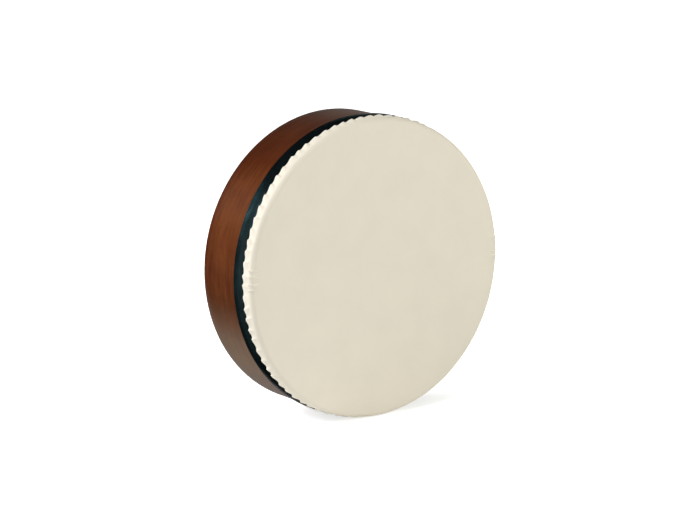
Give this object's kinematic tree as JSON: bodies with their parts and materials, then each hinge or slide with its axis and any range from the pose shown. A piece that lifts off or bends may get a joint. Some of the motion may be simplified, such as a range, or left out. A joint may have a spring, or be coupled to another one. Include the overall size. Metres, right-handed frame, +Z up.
{
  "type": "bendir frame drum",
  "caption": "Shallow round frame drum: a stained wooden hoop, a cream head pleated over its edge under a black ribbon, snare strings behind the head and a thumb hole in the hoop.",
  "frame": {"origin": "on the floor under the drum standing on edge, below its axis and half way between head and rear rim", "axes": "+Y along the drum's axis from the head to the open rear rim, +Z up, so the head faces -Y and +X is to the right of someone looking at the head"},
  "size_m": [0.3606, 0.1016, 0.3606],
  "materials": {
    "lacquered_wood": "satin",
    "head_skin": "matte",
    "woven_ribbon": "matte",
    "snare_string": "satin",
    "staple_wire": "satin"
  },
  "bodies": {
    "root": {"shell": "lacquered_wood", "drum_head": "head_skin", "ribbon": "woven_ribbon", "snare_string_1": "snare_string", "snare_string_2": "snare_string", "snare_string_3": "snare_string", "snare_string_4": "snare_string", "staple_01": "staple_wire", "staple_02": "staple_wire", "staple_03": "staple_wire", "staple_04": "staple_wire", "staple_05": "staple_wire", "staple_06": "staple_wire", "staple_07": "staple_wire", "staple_08": "staple_wire", "staple_09": "staple_wire", "staple_10": "staple_wire", "staple_11": "staple_wire", "staple_12": "staple_wire", "staple_13": "staple_wire", "staple_14": "staple_wire", "staple_15": "staple_wire", "staple_16": "staple_wire", "staple_17": "staple_wire", "staple_18": "staple_wire", "staple_19": "staple_wire", "staple_20": "staple_wire", "staple_21": "staple_wire", "staple_22": "staple_wire", "staple_23": "staple_wire", "staple_24": "staple_wire", "staple_25": "staple_wire", "staple_26": "staple_wire", "staple_27": "staple_wire", "staple_28": "staple_wire", "staple_29": "staple_wire", "staple_30": "staple_wire", "staple_31": "staple_wire", "staple_32": "staple_wire", "staple_33": "staple_wire", "staple_34": "staple_wire", "staple_35": "staple_wire", "staple_36": "staple_wire", "staple_37": "staple_wire", "staple_38": "staple_wire", "staple_39": "staple_wire", "staple_40": "staple_wire", "staple_41": "staple_wire", "staple_42": "staple_wire"}
  },
  "joints": []
}
